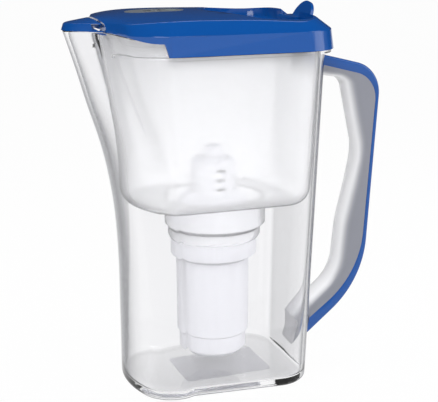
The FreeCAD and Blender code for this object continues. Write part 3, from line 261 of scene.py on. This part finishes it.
def smooth_table(shares, values, share):
    """Value of a smooth curve through a short table."""
    last = len(shares) - 1
    index = max(k for k in range(last) if shares[k] <= share or k == 0)
    x0, x1 = shares[index], shares[index + 1]
    y0, y1 = values[index], values[index + 1]

    def slope(k):
        low, high = max(0, k - 1), min(last, k + 1)
        return (values[high] - values[low]) / (shares[high] - shares[low])

    span = x1 - x0
    t = (share - x0) / span
    rise = t * t * (3 - 2 * t)
    return (mix(y0, y1, rise) + slope(index) * span * t * (1 - t) ** 2
            + slope(index + 1) * span * t * t * (t - 1))


def jug_plan(z):
    """Outline of the jug at a height."""
    share = z / SPOUT_HEIGHT
    plan = {key: mix(BASE[key], RIM[key], share) for key in ("back", "lobe_half", "half", "back_round")}
    reach = smooth_table(PROW_HEIGHT_SHARES, PROW_REACH_SHARES, share)
    plan["front"] = mix(BASE["front"], RIM["front"], reach)
    plan["lobe"] = mix(RIM["lobe"], BASE["lobe"], max(0.0, 1 - share) ** LOBE_FADE_POWER)
    plan["prow"] = PROW_ROUND
    plan["turn"] = WAIST_TURN
    return plan


def pinch(x, y, z):
    """Draw the front in to a narrow pouring nose, fully at the rim and fading out down the prow."""
    share = min(1.0, max(0.0, z / SPOUT_HEIGHT))
    lean = smooth_table(PROW_HEIGHT_SHARES, PROW_REACH_SHARES, share)
    place = x - (RIM["front"] - BASE["front"]) * (1 - lean)
    place = min(NOSE_PLACES[-1], max(NOSE_PLACES[0], place))
    width = smooth_table(NOSE_PLACES, NOSE_WIDTH_SHARES, place)
    return x, y * (1 - (1 - width) * lean), z


def hopper_plan(z):
    """Outline of the hopper at a height, inside the jug's wall."""
    jug = jug_plan(z)
    low = HOPPER_FLOOR + HOPPER_SHOULDER
    share = (z - low) / (RIM_HEIGHT - low)
    play = JUG_WALL + mix(HOPPER_LOW_PLAY, HOPPER_PLAY, share)
    plan = {key: jug[key] - play for key in ("lobe_half", "half", "back", "back_round")}
    plan["front"] = jug["front"] - JUG_WALL - mix(POUR_LOW_GAP, POUR_GAP, share)
    plan["prow"] = HOPPER_PROW
    plan["lobe"] = HOPPER_LOBE
    plan["turn"] = 0.0
    return plan


def arc_points(centre, radius, first, last, steps):
    """Points along an arc, without its last one."""
    return [(centre[0] + radius * math.cos(mix(first, last, k / steps)),
             centre[1] + radius * math.sin(mix(first, last, k / steps))) for k in range(steps)]


def outline(plan, inset=0.0):
    """Closed outline in plan, in the same number of points for every height of a piece."""
    prow = plan["prow"] - inset
    lobe = plan["lobe"] - inset
    corner = plan["back_round"] - inset
    prow_x = plan["prow"] - plan["front"]
    lobe_y = plan["lobe_half"] - plan["lobe"]
    lobe_x = prow_x - math.sqrt((prow - lobe) ** 2 - lobe_y ** 2)
    back_x = plan["back"] - plan["back_round"]
    back_y = plan["half"] - plan["back_round"]
    meet = math.atan2(lobe_y, lobe_x - prow_x)
    points = arc_points((prow_x, 0), prow, math.pi, meet, STEPS["prow"])
    if plan["turn"]:
        waist = WAIST_ROUND + inset
        waist_x = lobe_x + (lobe + waist) * math.sin(plan["turn"])
        waist_y = lobe_y + (lobe + waist) * math.cos(plan["turn"])
        span, far = (waist_x - back_x, waist_y - back_y), corner + waist
    else:
        span, far = (lobe_x - back_x, lobe_y - back_y), corner - lobe
    slope = math.atan2(span[1], span[0]) - math.pi + math.asin(far / math.hypot(*span))
    normal = math.pi / 2 + slope
    if plan["turn"]:
        points += arc_points((lobe_x, lobe_y), lobe, meet, math.pi / 2 - plan["turn"], STEPS["lobe"])
        points += arc_points((waist_x, waist_y), waist, -math.pi / 2 - plan["turn"], -math.pi / 2 + slope,
                             STEPS["waist"])
        start = (waist_x - waist * math.cos(normal), waist_y - waist * math.sin(normal))
    else:
        steps = STEPS["lobe"] + STEPS["waist"]
        points += arc_points((lobe_x, lobe_y), lobe, meet, normal, steps)
        start = (lobe_x + lobe * math.cos(normal), lobe_y + lobe * math.sin(normal))
    end = (back_x + corner * math.cos(normal), back_y + corner * math.sin(normal))
    points += [(mix(start[0], end[0], k / STEPS["side"]), mix(start[1], end[1], k / STEPS["side"]))
               for k in range(STEPS["side"])]
    points += arc_points((back_x, back_y), corner, normal, 0.0, STEPS["corner"])
    points += [(plan["back"] - inset, back_y * (1 - k / STEPS["back"])) for k in range(STEPS["back"] + 1)]
    return points + [(x, -y) for x, y in reversed(points[1:-1])]


def rim_at(x):
    """Height of the rim along the jug: level, a soft ramp, level at the spout."""
    share = min(1.0, max(0.0, (RAMP_BACK - x) / (RAMP_BACK - RAMP_FRONT)))
    return mix(RIM_HEIGHT, SPOUT_HEIGHT, share * share * (3 - 2 * share))


def skin(name, rows, caps=()):
    """Object skinned over closed rows of points, with its first or last row filled where asked."""
    mesh = bmesh.new()
    rings = [[mesh.verts.new(Vector(pinch(*point)) * MM) for point in row] for row in rows]
    count = len(rings[0])
    for low, high in zip(rings, rings[1:]):
        for k in range(count):
            mesh.faces.new((low[k], low[(k + 1) % count], high[(k + 1) % count], high[k]))
    for index in caps:
        mesh.faces.new(rings[index])
    bmesh.ops.remove_doubles(mesh, verts=mesh.verts, dist=SKIN_MERGE * MM)
    bmesh.ops.dissolve_degenerate(mesh, edges=mesh.edges, dist=SKIN_LEAST_EDGE * MM)
    bmesh.ops.recalc_face_normals(mesh, faces=mesh.faces)
    data = bpy.data.meshes.new(name)
    mesh.to_mesh(data)
    mesh.free()
    return bpy.data.objects.new(name, data)


def seat(piece, node, material, sharp_degrees=SHARP_DEGREES):
    """Give a piece its finish and seat it on the body that carries a node."""
    bpy.context.scene.collection.objects.link(piece)
    piece.data.materials.clear()
    piece.data.materials.append(material)
    piece.data.polygons.foreach_set("use_smooth", [True] * len(piece.data.polygons))
    piece.data.set_sharp_from_angle(angle=math.radians(sharp_degrees))
    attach(piece, BODY_OF[node])


def dress(piece, node, material, sharp_degrees=SHARP_DEGREES):
    """Let a piece stand in for a node."""
    seat(piece, node, material, sharp_degrees)
    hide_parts(node)


def rounded(count):
    """Angles of a quarter round."""
    return [math.pi / 2 * k / count for k in range(count + 1)]


def jug_rows():
    """Rows of the jug from the middle of its underside, up outside, over the rim and down inside."""
    rim_points = outline(jug_plan(SPOUT_HEIGHT))
    rims = [rim_at(x) for x, y in rim_points]

    def row(z, inset=0.0):
        return [(x, y, z) for x, y in outline(jug_plan(z), inset)]

    def step_row(z, reach, front, back):
        flat = outline(jug_plan(z))
        out = outline(jug_plan(z), -reach)
        return [(*(out[k] if front < flat[k][0] < back else flat[k]), z) for k in range(len(flat))]

    def rim_row(share, drop, inset):
        rows = {}
        points = []
        for k, rim in enumerate(rims):
            z = mix(PAD_HIGH, rim - drop, share)
            key = round(z, 2)
            if key not in rows:
                rows[key] = outline(jug_plan(key), inset)
            points.append((*rows[key][k], z))
        return points

    far = 2 * SPOUT_HEIGHT
    ledge_low = LEDGE_TOP - LEDGE_THICK
    rows = [row(FOOT_ROUND * (1 - math.cos(a)), FOOT_ROUND * (1 - math.sin(a))) for a in rounded(8)]
    rows += [row(mix(FOOT_ROUND, ledge_low, k / JUG_CLIMB)) for k in range(1, JUG_CLIMB + 1)]
    rows += [step_row(z, LEDGE_REACH, LEDGE_FRONT, far) for z in (ledge_low, LEDGE_TOP)]
    rows += [row(LEDGE_TOP), row(PAD_LOW), step_row(PAD_LOW, PAD_RAISE, PAD_FRONT, PAD_BACK)]
    rows += [step_row(PAD_HIGH, PAD_RAISE, PAD_FRONT, PAD_BACK), row(PAD_HIGH)]
    edge = JUG_WALL * RIM_ROUND_SHARE
    rows += [rim_row(0.4, edge, 0.0), rim_row(0.8, edge, 0.0)]
    rows += [rim_row(1.0, edge * (1 - math.sin(a)), edge * (1 - math.cos(a))) for a in rounded(4)]
    rows += [rim_row(1.0, edge * (1 - math.cos(a)), JUG_WALL - edge * (1 - math.sin(a)))
             for a in rounded(4)]
    rows += [rim_row(0.4, edge, JUG_WALL), row(PAD_HIGH, JUG_WALL)]
    inner_round = FOOT_ROUND - JUG_WALL / 2
    low = JUG_FLOOR + inner_round
    rows += [row(mix(PAD_HIGH, low, k / JUG_CLIMB), JUG_WALL) for k in range(1, JUG_CLIMB + 1)]
    rows += [row(JUG_FLOOR + inner_round * (1 - math.sin(a)), JUG_WALL + inner_round * (1 - math.cos(a)))
             for a in rounded(6)[1:]]
    return rows


def hopper_rows():
    """Rows of the hopper from its flange, down outside, round the socket and up inside."""
    shoulder = HOPPER_FLOOR + HOPPER_SHOULDER

    def row(z, inset=0.0):
        return [(x, y, z) for x, y in outline(hopper_plan(z), inset)]

    def bowl_row(z, inset):
        return [(x, y, z) for x, y in outline(hopper_plan(shoulder), inset)]

    def flange_row(z, reach):
        flat = outline(hopper_plan(RIM_HEIGHT))
        out = outline(hopper_plan(RIM_HEIGHT), -reach)
        return [(*(out[k] if flat[k][0] > FLANGE_FRONT else flat[k]), z) for k in range(len(flat))]

    seats = outline(hopper_plan(shoulder), HOPPER_LOW_INSET)
    turns = [math.atan2(y, x) for x, y in seats]

    def socket_row(radius, z):
        return [(radius * math.cos(turn), radius * math.sin(turn), z) for turn in turns]

    top = RIM_HEIGHT + FLANGE_THICK
    reach = HOPPER_PLAY + JUG_WALL - FLANGE_INSET
    rows = [row(top, HOPPER_WALL), flange_row(top, reach), flange_row(RIM_HEIGHT, reach), row(RIM_HEIGHT)]
    rows += [row(mix(RIM_HEIGHT, shoulder, k / HOPPER_CLIMB)) for k in range(1, HOPPER_CLIMB + 1)]
    rows += [bowl_row(HOPPER_FLOOR + HOPPER_SHOULDER * (1 - math.sin(a)),
                      HOPPER_LOW_INSET * (1 - math.cos(a))) for a in rounded(9)[1:]]
    step = SOCKET_SEAT - SOCKET_CHAMFER + SOCKET_WALL / 2
    floor = HOPPER_FLOOR + HOPPER_FLOOR_THICK
    rows += [socket_row(SOCKET_OUTER, HOPPER_FLOOR), socket_row(SOCKET_OUTER, step + SOCKET_CHAMFER),
             socket_row(SOCKET_LOW_OUTER, step), socket_row(SOCKET_LOW_OUTER, SOCKET_LIP + SOCKET_WALL),
             socket_row(SOCKET_LOW_OUTER - SOCKET_LIP_INSET, SOCKET_LIP),
             socket_row(SOCKET_LOW_OUTER - SOCKET_WALL, SOCKET_LIP),
             socket_row(SOCKET_LOW_OUTER - SOCKET_WALL, SOCKET_SEAT),
             socket_row(SOCKET_OUTER - SOCKET_WALL, SOCKET_SEAT),
             socket_row(SOCKET_OUTER - SOCKET_WALL, floor)]
    depth = shoulder - floor
    rows += [bowl_row(floor + depth * (1 - math.cos(a)), HOPPER_WALL + HOPPER_LOW_INSET * (1 - math.sin(a)))
             for a in rounded(9)]
    rows += [row(mix(shoulder, RIM_HEIGHT, k / HOPPER_CLIMB), HOPPER_WALL)
             for k in range(1, HOPPER_CLIMB + 1)]
    rows.append(rows[0])
    return rows


def soft_path(corners, rounds):
    """Points along straight runs joined by tangent arcs, evenly spaced along their length."""
    spots = [Vector(corner) for corner in corners]
    points = [spots[0]]
    for before, corner, after, radius in zip(spots, spots[1:], spots[2:], rounds):
        into, out = (corner - before).normalized(), (after - corner).normalized()
        turn = into.angle(out)
        reach = radius * math.tan(turn / 2)
        inward = (out - into).normalized()
        centre = corner + inward * (radius / math.cos(turn / 2))
        first, last = corner - into * reach - centre, corner + out * reach - centre
        for k in range(BEND_STEPS + 1):
            share = k / BEND_STEPS
            bend = (first * math.sin((1 - share) * turn) + last * math.sin(share * turn)) / math.sin(turn)
            points.append(centre + bend)
    points.append(spots[-1])
    travel = [0.0]
    for before, after in zip(points, points[1:]):
        travel.append(travel[-1] + (after - before).length)
    spaced = []
    index = 0
    for k in range(GRIP_STATIONS + 1):
        goal = travel[-1] * k / GRIP_STATIONS
        while index < len(travel) - 2 and travel[index + 1] < goal:
            index += 1
        step = max(1e-9, travel[index + 1] - travel[index])
        spaced.append(points[index].lerp(points[index + 1], min(1.0, (goal - travel[index]) / step)))
    return spaced


def foot_station(strips):
    """Station near the handle's foot where the blue strip ends and the closed clear foot begins."""
    return next(k for k in range(GRIP_STATIONS // 2, GRIP_STATIONS) if strips[k].x < FOOT_CLEAR)


def handle_rows():
    """Rows of the handle's channel along its length, from the jug's wall and back to it."""
    fingers = soft_path(FINGER_CORNERS, FINGER_ROUNDS)
    strips = soft_path(STRIP_CORNERS, STRIP_ROUNDS)
    backs = soft_path(BACK_CORNERS, BACK_ROUNDS)
    inner = GRIP_HALF - GRIP_WALL
    foot = foot_station(strips)

    def wall(z):
        return mix(BASE["back"], RIM["back"], z / SPOUT_HEIGHT) + WALL_PLAY

    def section(k, closed):
        finger, strip, back = fingers[k], strips[k], backs[k]
        run = fingers[min(GRIP_STATIONS, k + 1)] - fingers[max(0, k - 1)]
        deep = Vector((-run.y, run.x)).normalized()
        turn = min(GRIP_ROUND, GRIP_ROUND_SHARE * (strip - finger).length)
        inner_turn = max(GRIP_INNER_ROUND, turn - GRIP_WALL)
        side = back + (strip - back).normalized() * BACK_EDGE if closed else strip
        half = [(side, GRIP_HALF), (side.lerp(finger + deep * turn, 0.5), GRIP_HALF)]
        half += [(finger + deep * turn * (1 - math.sin(a)), GRIP_HALF - turn * (1 - math.cos(a)))
                 for a in rounded(8)]
        web = finger + deep * GRIP_WALL
        hollow = [(web + deep * inner_turn * (1 - math.cos(a)), inner - inner_turn * (1 - math.sin(a)))
                  for a in rounded(5)] + [(strip, inner)]
        if closed:
            hollow = [(back, y) for spot, y in hollow]
        points = half + [(spot, -y) for spot, y in reversed(half)]
        points += [(spot, -y) for spot, y in reversed(hollow)] + hollow
        return [(max(spot.x, wall(spot.y)), y, spot.y) for spot, y in points]

    rows = []
    for k in range(GRIP_STATIONS + 1):
        if max(path[k].x - wall(path[k].y) for path in (fingers, strips)) < LEAST_REACH:
            continue
        if k <= foot:
            rows.append(section(k, closed=False))
        if k >= foot:
            rows.append(section(k, closed=True))
    return rows


def frost_rows():
    """Rows of the etched rectangle in the jug's underside."""
    middle = (FROST_FRONT + FROST_BACK) / 2
    reach = (FROST_BACK - FROST_FRONT) / 2 - FROST_ROUND
    turns = [(reach, FROST_HALF - FROST_ROUND, 0), (-reach, FROST_HALF - FROST_ROUND, 1),
             (-reach, FROST_ROUND - FROST_HALF, 2), (reach, FROST_ROUND - FROST_HALF, 3)]
    points = []
    for x, y, quarter in turns:
        start = quarter * math.pi / 2
        points += arc_points((middle + x, y), FROST_ROUND, start, start + math.pi / 2, 8)
    return [[(x, y, z) for x, y in points] for z in FROST_LEVELS]


dress(skin("jug_shell", jug_rows(), caps=(0, -1)), "jug", CLEAR)
dress(skin("hopper_shell", hopper_rows()), "hopper_tub", FROSTED)
dress(skin("handle_channel", handle_rows(), caps=(0, -1)), "handle_frame", CLEAR_HANDLE)
seat(skin("base_etching", frost_rows(), caps=(0, -1)), "jug", ETCHED)


def end_strip(mesh):
    """Cut the blue strip where the handle's clear foot begins, and close the cut."""
    strips = soft_path(STRIP_CORNERS, STRIP_ROUNDS)
    backs = soft_path(BACK_CORNERS, BACK_ROUNDS)
    foot = foot_station(strips)
    strip, back = strips[foot] * MM, backs[foot] * MM
    down = back - strip
    lower = [face for face in mesh.faces if all(vert.co.z < FOOT_TOP * MM for vert in face.verts)]
    edges = {edge for face in lower for edge in face.edges}
    verts = {vert for face in lower for vert in face.verts}
    bmesh.ops.bisect_plane(mesh, geom=lower + list(edges) + list(verts), dist=SLICE_MERGE * MM,
                           plane_co=(strip.x, 0, strip.y), plane_no=(down.y, 0, -down.x), clear_outer=True)
    bmesh.ops.holes_fill(mesh, edges=[edge for edge in mesh.edges if edge.is_boundary])


def smooth_copy(node, sharp_degrees=SHARP_DEGREES):
    """A merged copy of a node's own mesh, shaded smooth between its edges."""
    data = NODES[node].data.copy()
    mesh = bmesh.new()
    mesh.from_mesh(data)
    bmesh.ops.remove_doubles(mesh, verts=mesh.verts, dist=COPY_MERGE * MM)
    if node in ("lid_shell", "spout_flap"):
        place = NOSE_PLACES[0]
        while place < NOSE_PLACES[-2]:
            whole = mesh.verts[:] + mesh.edges[:] + mesh.faces[:]
            bmesh.ops.bisect_plane(mesh, geom=whole, dist=SLICE_MERGE * MM, plane_co=(place * MM, 0, 0),
                                   plane_no=(1, 0, 0))
            place += NOSE_SLICE
        for vert in mesh.verts:
            vert.co = Vector(pinch(*(vert.co / MM))) * MM
    if node == "grip_strip":
        end_strip(mesh)
    mesh.to_mesh(data)
    mesh.free()
    piece = bpy.data.objects.new(node + "_moulding", data)
    dress(piece, node, FINISHES[node], sharp_degrees)
    shade = piece.modifiers.new("even_shading", "WEIGHTED_NORMAL")
    shade.keep_sharp = True
    shade.weight = 100


for node in FINISHES:
    if node in ("lid_shell", "fill_flap"):
        smooth_copy(node, LID_SHARP_DEGREES)
    elif node not in ("jug", "hopper_tub", "handle_frame"):
        smooth_copy(node)


# Camera of the photograph, and where the lamps point
CAMERA_AZIMUTH = math.radians(-21.371)
CAMERA_RISE = math.radians(15.005)
CAMERA_DISTANCE = 755.604
CAMERA_TARGET = Vector((4.98, 0.0, 132.732))
CAMERA_LENS = 84.13
LAMP_AIM = Vector((0.0, 0.0, 150.0))
SENSOR = 36.0
CLIP_NEAR, CLIP_FAR = 0.01, 20.0


def make_camera():
    """Camera that sees the object as the photograph does."""
    data = bpy.data.cameras.new("camera")
    data.lens = CAMERA_LENS
    data.sensor_width = SENSOR
    camera = bpy.data.objects.new("camera", data)
    back = Vector((math.sin(CAMERA_AZIMUTH) * math.cos(CAMERA_RISE),
                   -math.cos(CAMERA_AZIMUTH) * math.cos(CAMERA_RISE), math.sin(CAMERA_RISE)))
    camera.location = (CAMERA_TARGET + back * CAMERA_DISTANCE) * MM
    camera.rotation_euler = (-back).to_track_quat("-Z", "Y").to_euler()
    data.clip_start = CLIP_NEAR
    data.clip_end = CLIP_FAR
    bpy.context.scene.collection.objects.link(camera)
    bpy.context.scene.camera = camera


def add_lamp(name, place_mm, width_mm, height_mm, watts):
    """Soft rectangular lamp that points at the object's middle."""
    data = bpy.data.lights.new(name, "AREA")
    data.shape = "RECTANGLE"
    data.size = width_mm * MM
    data.size_y = height_mm * MM
    data.energy = watts
    lamp = bpy.data.objects.new(name, data)
    lamp.location = Vector(place_mm) * MM
    lamp.rotation_euler = (LAMP_AIM - Vector(place_mm)).to_track_quat("-Z", "Y").to_euler()
    bpy.context.scene.collection.objects.link(lamp)


# Light of the plain studio, and the share of the background's white that gloss mirrors
WORLD_LIGHT = 0.5
DARK_MIRRORED, FRONT_MIRRORED = 0.04, 0.8
MIRROR_WALL_TOP, MIRROR_WALL_FULL = 0.5, 0.0
MIRROR_WALL_BACK, MIRROR_WALL_FRONT = 0.2, -0.4
FLOOR_REACH = 6.0
FLOOR_DROP = 0.2
FLOOR_GLOW = 0.96
FLOOR_MIRRORED = 0.9


def seen_background(tree, mirrored):
    """One for the rays that look straight or through clear plastic, and a share for mirrored ones."""
    path = add(tree, "ShaderNodeLightPath")
    gloss = add(tree, "ShaderNodeMath", {"operation": "MULTIPLY"}, {1: mirrored},
                {0: path.outputs["Is Glossy Ray"]})
    first = add(tree, "ShaderNodeMath", {"operation": "MAXIMUM"})
    tree.links.new(path.outputs["Is Camera Ray"], first.inputs[0])
    tree.links.new(gloss.outputs["Value"], first.inputs[1])
    both = add(tree, "ShaderNodeMath", {"operation": "MAXIMUM"})
    tree.links.new(first.outputs["Value"], both.inputs[0])
    tree.links.new(path.outputs["Is Transmission Ray"], both.inputs[1])
    return both.outputs["Value"]


def make_world():
    """White to the eye and through clear plastic, dimmer as a light and as what gloss mirrors."""
    world = bpy.data.worlds.new("studio")
    bpy.context.scene.world = world
    world.use_nodes = True
    tree = world.node_tree
    tree.nodes.clear()
    output = add(tree, "ShaderNodeOutputWorld")
    # What gloss mirrors: a bright wall low in front of the object, dim everywhere else
    way = add(tree, "ShaderNodeTexCoord").outputs["Generated"]
    axes = add(tree, "ShaderNodeSeparateXYZ", links={"Vector": way})
    low = add(tree, "ShaderNodeMapRange", links={"Value": axes.outputs["Z"]},
              values={"From Min": MIRROR_WALL_TOP, "From Max": MIRROR_WALL_FULL})
    front = add(tree, "ShaderNodeMapRange", links={"Value": axes.outputs["Y"]},
                values={"From Min": MIRROR_WALL_BACK, "From Max": MIRROR_WALL_FRONT})
    wall = add(tree, "ShaderNodeMath", {"operation": "MULTIPLY"},
               links={0: low.outputs["Result"], 1: front.outputs["Result"]})
    mirrored = add(tree, "ShaderNodeMapRange", values={"To Min": DARK_MIRRORED, "To Max": FRONT_MIRRORED},
                   links={"Value": wall.outputs["Value"]})
    path = add(tree, "ShaderNodeLightPath")
    dim = add(tree, "ShaderNodeMapRange", values={"To Min": WORLD_LIGHT},
              links={"Value": path.outputs["Is Glossy Ray"], "To Max": mirrored.outputs["Result"]})
    strength = add(tree, "ShaderNodeMapRange", values={"To Max": 1.0},
                   links={"Value": seen_background(tree, 0.0), "To Min": dim.outputs["Result"]})
    light = add(tree, "ShaderNodeBackground", values={"Color": linear("#ffffff")},
                links={"Strength": strength.outputs["Result"]})
    tree.links.new(light.outputs["Background"], output.inputs["Surface"])


def make_floor():
    """Pale sweep just under the object, white to the eye, that keeps its shadow."""
    data = bpy.data.meshes.new("floor")
    low = -FLOOR_DROP * MM
    corners = [(x * FLOOR_REACH, y * FLOOR_REACH, low) for x, y in ((-1, -1), (1, -1), (1, 1), (-1, 1))]
    data.from_pydata(corners, [], [(0, 1, 2, 3)])
    floor = bpy.data.objects.new("floor", data)
    material, tree, output = new_material("studio_sweep")
    paper = add(tree, "ShaderNodeBsdfDiffuse", values={"Color": linear("#f4f4f5")})
    glow = add(tree, "ShaderNodeEmission", values={"Color": linear("#ffffff"), "Strength": 1.0})
    share = add(tree, "ShaderNodeMath", {"operation": "MULTIPLY"}, {1: FLOOR_GLOW},
                {0: seen_background(tree, FLOOR_MIRRORED)})
    both = add(tree, "ShaderNodeMixShader", links={"Fac": share.outputs["Value"], 1: paper.outputs["BSDF"],
                                                   2: glow.outputs["Emission"]})
    tree.links.new(both.outputs["Shader"], output.inputs["Surface"])
    data.materials.append(material)
    bpy.context.scene.collection.objects.link(floor)


make_camera()
make_world()
make_floor()
add_lamp("key", (-350, -1000, 850), 700, 700, 8.0)
add_lamp("fill", (900, -500, 600), 600, 900, 3.0)
add_lamp("top", (100, 300, 1000), 900, 600, 2.8)
bpy.context.scene.view_settings.view_transform = "Standard"
